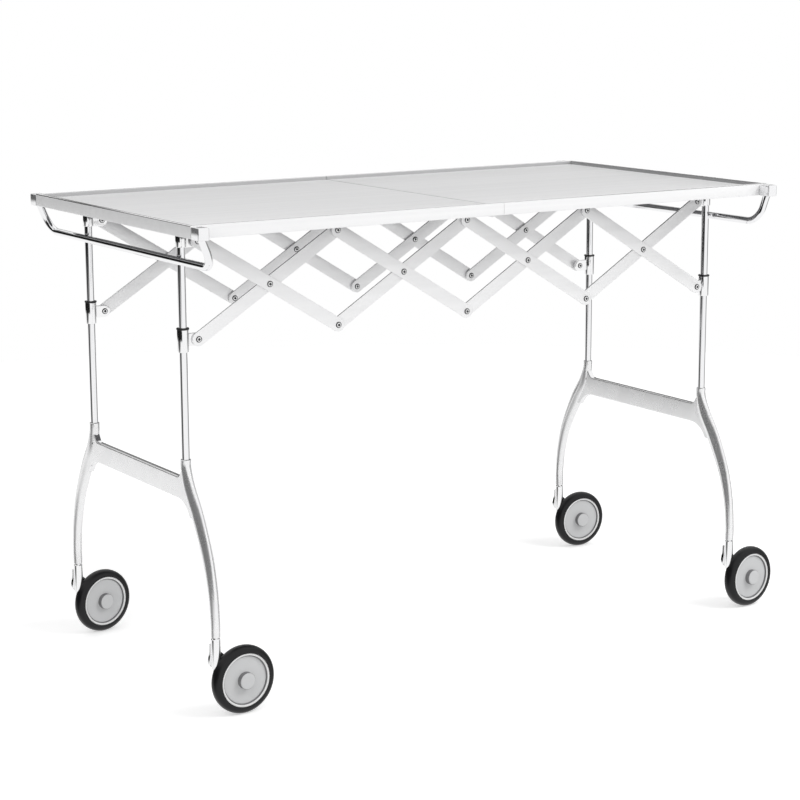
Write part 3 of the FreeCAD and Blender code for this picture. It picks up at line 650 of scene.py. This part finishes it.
def cloud_group():
    """Slow unevenness of a surface: soft noise mapped between two values."""
    if "soft_cloud" in bpy.data.node_groups:
        return bpy.data.node_groups["soft_cloud"]
    group, inside, outside = finish_group(
        "soft_cloud", (("Scale", 12.0), ("Low", 0.9), ("High", 1.0)), ("Value", "Height"))
    links = group.links
    place = add_node(group, "ShaderNodeTexCoord")
    noise = add_node(group, "ShaderNodeTexNoise")
    noise.inputs["Detail"].default_value = 4.0
    links.new(place.outputs["Object"], noise.inputs["Vector"])
    links.new(inside.outputs["Scale"], noise.inputs["Scale"])
    spread = add_node(group, "ShaderNodeMapRange")
    spread.inputs["From Min"].default_value = 0.3
    spread.inputs["From Max"].default_value = 0.7
    links.new(noise.outputs["Fac"], spread.inputs["Value"])
    links.new(inside.outputs["Low"], spread.inputs["To Min"])
    links.new(inside.outputs["High"], spread.inputs["To Max"])
    links.new(spread.outputs["Result"], outside.inputs["Value"])
    links.new(noise.outputs["Fac"], outside.inputs["Height"])
    return group


def place_group(tree, group, **values):
    """A node that uses a shader group, with some of its inputs."""
    node = add_node(tree, "ShaderNodeGroup", node_tree=group)
    for name, value in values.items():
        node.inputs[name].default_value = value
    return node


def base_material(name, colour, roughness, metallic):
    """A new material with one Principled shader; gives the material, its tree and shader."""
    material = bpy.data.materials.new(name)
    material.use_nodes = True
    shader = material.node_tree.nodes["Principled BSDF"]
    shader.inputs["Base Color"].default_value = (*colour, 1.0)
    shader.inputs["Roughness"].default_value = roughness
    shader.inputs["Metallic"].default_value = metallic
    material.diffuse_color = (*colour, 1.0)
    return material, material.node_tree, shader


def tint(tree, shader, colour, tone):
    """Feeds the base colour with the colour times a slowly changing value."""
    blend = add_node(tree, "ShaderNodeMix", data_type="RGBA", blend_type="MULTIPLY")
    blend.inputs["Factor"].default_value = 1.0
    blend.inputs[6].default_value = (*colour, 1.0)
    tree.links.new(tone, blend.inputs[7])
    tree.links.new(blend.outputs[2], shader.inputs["Base Color"])


def bump(tree, shader, height, strength, depth):
    """Feeds the normal from a height."""
    node = add_node(tree, "ShaderNodeBump")
    node.inputs["Strength"].default_value = strength
    node.inputs["Distance"].default_value = depth
    tree.links.new(height, node.inputs["Height"])
    tree.links.new(node.outputs["Normal"], shader.inputs["Normal"])


def brushed_metal(name, colour, roughness, density=900.0, swing=0.12, strength=0.05,
                  metallic=0.45):
    """Satin metal with fine lines and a slow change of tone."""
    material, tree, shader = base_material(name, colour, roughness, metallic)
    lines = place_group(tree, brushed_group(), Density=density, Roughness=roughness, Swing=swing)
    tint(tree, shader, colour, lines.outputs["Tone"])
    tree.links.new(lines.outputs["Roughness"], shader.inputs["Roughness"])
    bump(tree, shader, lines.outputs["Height"], strength, 0.0002)
    return material


def polished_metal(name, colour, roughness, unevenness=0.05, metallic=1.0):
    """Bright metal whose gloss changes a little, as polishing leaves it."""
    material, tree, shader = base_material(name, colour, roughness, metallic)
    cloud = place_group(tree, cloud_group(), Scale=30.0, Low=roughness * 0.9,
                        High=roughness * 1.1)
    tree.links.new(cloud.outputs["Value"], shader.inputs["Roughness"])
    bump(tree, shader, cloud.outputs["Height"], unevenness, 0.0006)
    return material


def moulded(name, colour, roughness, grain=260.0, strength=0.06):
    """Moulded plastic or rubber with a fine skin."""
    material, tree, shader = base_material(name, colour, roughness, 0.0)
    cloud = place_group(tree, cloud_group(), Scale=grain, Low=roughness * 0.88,
                        High=roughness * 1.12)
    tree.links.new(cloud.outputs["Value"], shader.inputs["Roughness"])
    bump(tree, shader, cloud.outputs["Height"], strength, 0.0003)
    return material


def dress(name, material):
    """Gives a CAD node one material."""
    mesh = NODES[name].data
    mesh.materials.clear()
    mesh.materials.append(material)


# ---- operators ----------------------------------------------------------------------
class SERVICETABLE_OT_top(bpy.types.Operator):
    """Rails, sheets, corner blocks and hinges of the folding top"""

    bl_idname = "servicetable.top"
    bl_label = "Folding top"

    def execute(self, context):
        metal = context.scene.table_metal
        rail = brushed_metal("satin_rail", metal.rim, metal.satin_roughness, metallic=0.2)
        edge = polished_metal("polished_edge", metal.rim, 0.1, unevenness=0.01)
        # painted shade: darker grey on the rails' walls round the recess
        inside = brushed_metal("rail_wall_painted_shade", metal.inside, metal.satin_roughness)
        # painted shade: near black on the undersides of the rails, the seam rails and the sheets
        under = moulded("underside_painted_shade", metal.under, 0.5, grain=200.0)
        sheet = brushed_metal("satin_sheet", metal.sheet, metal.satin_roughness * 1.1,
                              density=500.0)
        block = polished_metal("polished_block", metal.chrome, metal.chrome_roughness * 2.0,
                               unevenness=0.01, metallic=0.8)
        hinge = brushed_metal("satin_hinge", metal.bar, metal.satin_roughness)
        for side, x_side in SIDES:
            # The seam rail under the sheets is all in the near black painted shade
            seam_rail = slab(soft_rectangle(*sorted((x_side * SEAM, x_side * 16.3)),
                                            -244.0, 244.0, 0.3),
                             RIM_BOTTOM_Z, SHEET_BOTTOM_Z, 0.3, 2)
            add_piece(f"{side}_rail", [(rim_rings(x_side), False, RIM_FINISHES),
                                       (seam_rail, False, 3)],
                      [rail, edge, inside, under], f"{side}_panel",
                      [f"{side}_rim"])
            # Each sheet is a bright face over a near black layer, painted shade under the top
            layers = ((1.3, SHEET_Z - SHEET_FACE, SHEET_Z),
                      (0.1, SHEET_BOTTOM_Z, SHEET_Z - SHEET_FACE))
            shells = []
            for finish, (start, low, high) in enumerate(layers):
                board = soft_rectangle(*sorted((x_side * start, x_side * RECESS[0])),
                                       -RECESS[1], RECESS[1], 0.04)
                shells.append((slab(board, low, high, 0.02, 2), False, finish))
            add_piece(f"{side}_sheet", shells, [sheet, under], f"{side}_panel",
                      [f"{side}_tray_sheet"])
            dress(f"{side}_seam_hinges", hinge)
            x0, x1 = sorted((x_side * (HALF_LENGTH - BLOCK_LENGTH), x_side * HALF_LENGTH))
            body = soft_box((x0, BLOCK_Y[0], BLOCK_Z[0]), (x1, BLOCK_Y[1], BLOCK_Z[1]), 1.7)
            pin = turned([(4.0, 0.0), (4.0, 8.0)], (x_side * TILT_X, 250.0, TILT_Z),
                         (0.0, 1.0, 0.0), 24)
            shells = [(flipped(shape, y_side), False, 0) for y_side in (-1, 1)
                      for shape in (body, pin)]
            add_piece(f"{side}_blocks", shells, [block], f"{side}_frame",
                      [f"{side}_corner_blocks"])
        return {"FINISHED"}


class SERVICETABLE_OT_frames(bpy.types.Operator):
    """Cast legs, rods, lugs and handles of the two end frames"""

    bl_idname = "servicetable.frames"
    bl_label = "End frames"

    def execute(self, context):
        metal = context.scene.table_metal
        wheel = context.scene.table_wheel
        chrome = polished_metal("plated_chrome", metal.chrome, metal.chrome_roughness,
                                unevenness=0.01)
        casting = polished_metal("polished_casting", metal.casting, metal.casting_roughness,
                                 unevenness=0.002, metallic=0.78)
        bright = polished_metal("bright_fitting", metal.casting, 0.14, unevenness=0.04)
        # painted shade: near black in the gap where each rod enters its leg, and in the lugs'
        # rivet heads
        joint = moulded("joint_painted_shade", wheel.rubber, 0.5)
        for side, x_side in SIDES:
            x = x_side * ROD_X
            shells = [(shifted(crossbar_rings(), x), False, crossbar_finishes())]
            for y_side in (-1, 1):
                leg = shifted(flipped(leg_rings(), y_side), x)
                # A thin near black ring at the socket's top, painted as the shade of the gap round
                # the rod
                gap = sleeve((x, y_side * ROD_Y, 0.0), (0, 0, 1), ROD_SEAT_R, 6.7,
                             SOCKET_Z - 0.6, SOCKET_Z + 0.25, 0.1)
                shells += [(leg, False, 0), (gap, True, 1)]
            add_piece(f"{side}_casting", shells, [casting, joint, bright], f"{side}_frame",
                      [f"{side}_leg_casting"])
            for place, y_side in PLACES:
                rod = [(5.4, 325.0), (6.0, 325.6), (6.0, 679.4), (5.4, 680.0)]
                add_piece(f"{side}_{place}_upright",
                          [(turned(rod, (x, y_side * ROD_Y, 0.0), (0, 0, 1)), False, 0)],
                          [chrome], f"{side}_frame", [f"{side}_{place}_rod"])
            path, normal = handle_path(x_side)
            add_piece(f"{side}_grip", [(tube(path, normal, HANDLE_R), False, 0)], [chrome],
                      f"{side}_frame", [f"{side}_handle"])
            x0, x1 = sorted((x, x_side * HANDLE_X))
            saddle = soft_box((x0, *SADDLE[0]), (x1, *SADDLE[1]), 0.8)
            add_piece(f"{side}_saddles",
                      [(flipped(saddle, y_side), False, 0) for y_side in (-1, 1)],
                      [bright], f"{side}_frame", [f"{side}_handle_saddles"])
            layer = OUTER_LAYER if x_side < 0 else INNER_LAYER
            shells = lug_shells(x_side, 7.75, 661.0, 677.0, HIGH_Z, layer, ROD_SEAT_R)
            add_piece(f"{side}_lugs", shells, [bright, joint], f"{side}_frame",
                      [f"{side}_top_lugs"])
        return {"FINISHED"}


class SERVICETABLE_OT_lattice(bpy.types.Operator):
    """Flat bars, rivets and sliding collars of the two lattices"""

    bl_idname = "servicetable.lattice"
    bl_label = "Lattices and collars"

    def execute(self, context):
        metal = context.scene.table_metal
        wheel = context.scene.table_wheel
        bar = brushed_metal("satin_bar", metal.bar, metal.satin_roughness)
        rivet = polished_metal("turned_rivet", metal.casting, 0.16, unevenness=0.02)
        collar = polished_metal("collar_metal", metal.casting, 0.12, unevenness=0.03)
        # painted shade: near black in each rivet head's middle and round its rim
        socket = moulded("rivet_painted_shade", wheel.rubber, 0.5)
        ring = moulded("black_ring", wheel.rubber, 0.35)
        middle_z = (HIGH_Z + LOW_Z) / 2
        for cell in CELLS:
            x = -PIVOT_X + (cell - 1) * PITCH
            for lean, start, end, layer in (("falling", HIGH_Z, LOW_Z, OUTER_LAYER),
                                            ("rising", LOW_Z, HIGH_Z, INNER_LAYER)):
                outline = pill((x, start), (x + PITCH, end), BAR_HALF, BAR_HALF)
                rings = slab(outline, *layer, 0.45, 1)
                for place, y_side in PLACES:
                    add_piece(f"{place}_{lean}_strip_{cell}", [(flipped(rings, y_side), False, 0)],
                              [bar], f"{lean}_bars_{cell}",
                              [f"{place}_{lean}_bar_{cell}"])
            low_joint, high_joint = (x + PITCH, LOW_Z), (x, HIGH_Z)
            joint, stub = (low_joint, high_joint) if cell in (1, 3) else (high_joint, low_joint)
            stubs = [stub] if cell in (2, 3) else []     # outer halves of the middle rivets
            shells = []
            for y_side in (-1, 1):
                for place in ((x + PITCH / 2, middle_z), joint):
                    shells += rivet_shells(*place, OUTER_LAYER[1], 1, y_side)
                    shells += rivet_shells(*place, INNER_LAYER[0] - 0.1, -1, y_side)
                    shells.append(shank_shell(*place, 154.0, 161.6, RIVET_R, y_side))
                for place in stubs:
                    shells += rivet_shells(*place, OUTER_LAYER[1], 1, y_side)
                    shells.append(shank_shell(*place, 158.3, 161.6, RIVET_R, y_side))
            add_piece(f"rivets_{cell}", shells, [rivet, socket], f"falling_bars_{cell}",
                      [f"falling_rivets_{cell}"])
        for number, z in ((2, HIGH_Z), (3, LOW_Z)):
            shells = []
            for y_side in (-1, 1):
                shells += rivet_shells(0.0, z, INNER_LAYER[0], -1, y_side)
                shells.append(shank_shell(0.0, z, 154.5, 157.8, RIVET_R, y_side))
            add_piece(f"middle_rivets_{number}", shells, [rivet, socket],
                      f"rising_bars_{number}", [f"rising_rivets_{number}"])
        for side, x_side in SIDES:
            layer = INNER_LAYER if x_side < 0 else OUTER_LAYER
            shells = lug_shells(x_side, 8.5, 513.0, RING_Z, LOW_Z, layer, ROD_SLIDE_R)
            add_piece(f"{side}_sliders", shells, [collar, socket], f"{side}_collars",
                      [f"{side}_collars"])
            shells = [(sleeve((x_side * ROD_X, y_side * ROD_Y, 0.0), (0, 0, 1), ROD_SLIDE_R,
                              9.2, RING_Z, RING_Z + 2.6, 0.8), True, 0) for y_side in (-1, 1)]
            add_piece(f"{side}_black_rings", shells, [ring], f"{side}_collars",
                      [f"{side}_collar_rings"])
        return {"FINISHED"}


class SERVICETABLE_OT_casters(bpy.types.Operator):
    """Forks, hubs and tyres of the four casters"""

    bl_idname = "servicetable.casters"
    bl_label = "Casters"

    def execute(self, context):
        metal = context.scene.table_metal
        wheel = context.scene.table_wheel
        fork = polished_metal("fork_polish", metal.casting, 0.12, unevenness=0.05)
        hub = moulded("grey_hub", wheel.hub, 0.45, grain=180.0, strength=0.03)
        # painted highlight: paler grey on the ring round the hub's face
        lip = moulded("hub_lip_painted_highlight", wheel.lip, 0.35, grain=180.0, strength=0.02)
        # painted shade on the walls of the boss and inside the lip
        shade = moulded("hub_walls_painted_shade", wheel.shade, 0.5, grain=180.0, strength=0.02)
        rubber = moulded("tyre_rubber", wheel.rubber, 0.34, grain=320.0, strength=0.08)
        rubber.node_tree.nodes["Principled BSDF"].inputs["Specular IOR Level"].default_value = 0.3
        for side, x_side in SIDES:
            for place, y_side in PLACES:
                name = f"{side}_{place}"
                stem = np.array([x_side * ROD_X, y_side * FOOT_Y, 0.0])
                swivel = math.radians(SWIVELS[name])
                back = np.array([math.cos(swivel), math.sin(swivel), 0.0])
                out = np.array([math.sin(swivel), -math.cos(swivel), 0.0])
                centre = stem + TRAIL * back + WHEEL_BESIDE * out + [0.0, 0.0, WHEEL_R]
                add_piece(f"{name}_tread", [(turned(tyre_profile(), centre, out, 96), True, 0)],
                          [rubber], f"{name}_wheel", [f"{name}_tyre"], sharp=60.0)
                sections = [(hub_profile(), False, 0), (lip_profile(), True, 1)]
                sections += [(section, True, 2) for section in shade_profiles()]
                shells = [(turned(section, centre, out, 72), looped, finish)
                          for section, looped, finish in sections]
                add_piece(f"{name}_disc", shells, [hub, lip, shade], f"{name}_wheel",
                          [f"{name}_hub"], sharp=28.0)
                add_piece(f"{name}_half_fork", fork_shells(stem, back, out), [fork],
                          f"{name}_caster", [f"{name}_caster_fork"])
        return {"FINISHED"}


class SERVICETABLE_OT_stage(bpy.types.Operator):
    """Pale floor, soft lights, a studio with dark sides for the metal, and the camera"""

    bl_idname = "servicetable.stage"
    bl_label = "Stage and camera"

    def execute(self, context):
        settings = context.scene.table_stage
        self.make_camera(context, settings)
        self.make_world(context, settings)
        self.make_floor(context, settings)
        self.make_lights(context, settings)
        context.scene.view_settings.view_transform = "Standard"
        return {"FINISHED"}

    def make_camera(self, context, settings):
        turn, dip, roll = settings.camera_turn, settings.camera_dip, settings.camera_roll
        ahead = Vector((math.sin(turn) * math.cos(dip), math.cos(turn) * math.cos(dip),
                        -math.sin(dip)))
        across = Vector((math.cos(turn), -math.sin(turn), 0.0))
        above = across.cross(ahead)
        right = across * math.cos(roll) + above * math.sin(roll)
        up = above * math.cos(roll) - across * math.sin(roll)
        data = bpy.data.cameras.new("camera")
        data.lens = settings.lens
        data.sensor_width = 36.0
        data.clip_end = 200.0
        camera = bpy.data.objects.new("camera", data)
        axes = Matrix((right, up, -ahead)).transposed().to_4x4()
        camera.matrix_world = Matrix.Translation(settings.camera_place) @ axes
        context.scene.collection.objects.link(camera)
        context.scene.camera = camera

    def make_world(self, context, settings):
        """White to the camera, softer on dull surfaces, with dark sides in reflections.

        Each dark side is one product of two soft steps: the cosine between the ray's
        heading and the side's heading, and the ray's height above or below the side's.
        """
        world = bpy.data.worlds.new("white_studio")
        world.use_nodes = True
        tree = world.node_tree
        links = tree.links
        background = tree.nodes["Background"]
        background.inputs["Color"].default_value = (1.0, 1.0, 1.0, 1.0)
        place = add_node(tree, "ShaderNodeTexCoord")
        split = add_node(tree, "ShaderNodeSeparateXYZ")
        links.new(place.outputs["Generated"], split.inputs[0])
        left = None
        for *angles, height, half_height, fade, dark in DARK_SIDES:
            heading, half_width, soft = map(math.radians, angles)
            facing = add_node(tree, "ShaderNodeVectorMath", operation="DOT_PRODUCT")
            facing.inputs[1].default_value = (math.sin(heading), math.cos(heading), 0.0)
            links.new(place.outputs["Generated"], facing.inputs[0])
            wide = self.soft_step(tree, facing.outputs["Value"], math.cos(half_width + soft),
                                  math.cos(half_width - soft))
            lift = math_node(tree, "SUBTRACT", split.outputs["Z"], height)
            away = math_node(tree, "ABSOLUTE", lift)
            tall = self.soft_step(tree, away, half_height + fade, half_height - fade)
            both = math_node(tree, "MULTIPLY", wide, tall)
            keep = math_node(tree, "MULTIPLY_ADD", both, -dark, 1.0)
            left = keep if left is None else math_node(tree, "MULTIPLY", left, keep)
        rays = add_node(tree, "ShaderNodeLightPath")
        seen = math_node(tree, "MAXIMUM", rays.outputs["Is Camera Ray"],
                         rays.outputs["Is Transmission Ray"])
        mirrored = add_node(tree, "ShaderNodeMix", data_type="FLOAT")
        links.new(rays.outputs["Is Glossy Ray"], mirrored.inputs["Factor"])
        mirrored.inputs["A"].default_value = settings.sky_level
        links.new(left, mirrored.inputs["B"])
        level = add_node(tree, "ShaderNodeMix", data_type="FLOAT")
        links.new(seen, level.inputs["Factor"])
        links.new(mirrored.outputs["Result"], level.inputs["A"])
        level.inputs["B"].default_value = 1.0
        links.new(level.outputs["Result"], background.inputs["Strength"])
        context.scene.world = world

    def soft_step(self, tree, value, zero_at, one_at):
        """Socket that goes smoothly from 0 to 1 between two values."""
        ramp = add_node(tree, "ShaderNodeMapRange", interpolation_type="SMOOTHSTEP")
        tree.links.new(value, ramp.inputs["Value"])
        low, high = min(zero_at, one_at), max(zero_at, one_at)
        ramp.inputs["From Min"].default_value = low
        ramp.inputs["From Max"].default_value = high
        ramp.inputs["To Min"].default_value = 0.0 if zero_at < one_at else 1.0
        ramp.inputs["To Max"].default_value = 1.0 if zero_at < one_at else 0.0
        return ramp.outputs["Result"]

    def make_floor(self, context, settings):
        """A flat disc: radius times (cos t, sin t), left out of the metal's reflections."""
        turns = np.linspace(0.0, 2.0 * np.pi, 96, endpoint=False)
        ring = np.stack([np.cos(turns), np.sin(turns), np.zeros_like(turns)], axis=1)
        mesh = bpy.data.meshes.new("floor")
        mesh.from_pydata((ring * settings.floor_radius).tolist(), [], [list(range(96))])
        floor = bpy.data.objects.new("floor", mesh)
        context.scene.collection.objects.link(floor)
        material = bpy.data.materials.new("pale_floor")
        material.use_nodes = True
        tree = material.node_tree
        shader = tree.nodes["Principled BSDF"]
        shader.inputs["Base Color"].default_value = (0.9, 0.9, 0.9, 1.0)
        shader.inputs["Roughness"].default_value = 0.6
        shader.inputs["Specular IOR Level"].default_value = 0.1
        rays = add_node(tree, "ShaderNodeLightPath")
        lift = math_node(tree, "MULTIPLY", rays.outputs["Is Camera Ray"], 0.42)
        shader.inputs["Emission Color"].default_value = (1.0, 1.0, 1.0, 1.0)
        tree.links.new(lift, shader.inputs["Emission Strength"])
        floor.visible_glossy = False
        mesh.materials.append(material)

    def make_lights(self, context, settings):
        lamps = (
            ("key", (1.9, -2.4, 2.9), 1.8, settings.key_power),
            ("left_fill", (-2.6, -1.9, 2.2), 2.4, settings.key_power * 0.3),
        )
        for name, place, size, power in lamps:
            data = bpy.data.lights.new(name, "AREA")
            data.shape = "DISK"
            data.size = size
            data.energy = power
            lamp = bpy.data.objects.new(name, data)
            aim = Vector((0.0, 0.0, 0.4)) - Vector(place)
            facing = aim.to_track_quat("-Z", "Y").to_matrix().to_4x4()
            lamp.matrix_world = Matrix.Translation(place) @ facing
            lamp.visible_glossy = False
            context.scene.collection.objects.link(lamp)


class SERVICETABLE_PT_panel(bpy.types.Panel):
    """Lists the table's operators"""

    bl_idname = "SERVICETABLE_PT_panel"
    bl_label = "Service table"
    bl_space_type = "VIEW_3D"
    bl_region_type = "UI"
    bl_category = "Service table"

    def draw(self, context):
        for operator in OPERATORS:
            self.layout.operator(operator.bl_idname)


SETTINGS = (
    ("table_stage", StageSettings),
    ("table_metal", MetalSettings),
    ("table_wheel", WheelSettings),
)
OPERATORS = (SERVICETABLE_OT_top, SERVICETABLE_OT_frames, SERVICETABLE_OT_lattice,
             SERVICETABLE_OT_casters, SERVICETABLE_OT_stage)


def register():
    for name, group in SETTINGS:
        bpy.utils.register_class(group)
        setattr(bpy.types.Scene, name, PointerProperty(type=group))
    for cls in (*OPERATORS, SERVICETABLE_PT_panel):
        bpy.utils.register_class(cls)


def unregister():
    for cls in reversed((*OPERATORS, SERVICETABLE_PT_panel)):
        bpy.utils.unregister_class(cls)
    for name, group in reversed(SETTINGS):
        delattr(bpy.types.Scene, name)
        bpy.utils.unregister_class(group)


def main():
    register()
    bpy.ops.servicetable.top()
    bpy.ops.servicetable.frames()
    bpy.ops.servicetable.lattice()
    bpy.ops.servicetable.casters()
    bpy.ops.servicetable.stage()


if __name__ == "__main__":
    main()
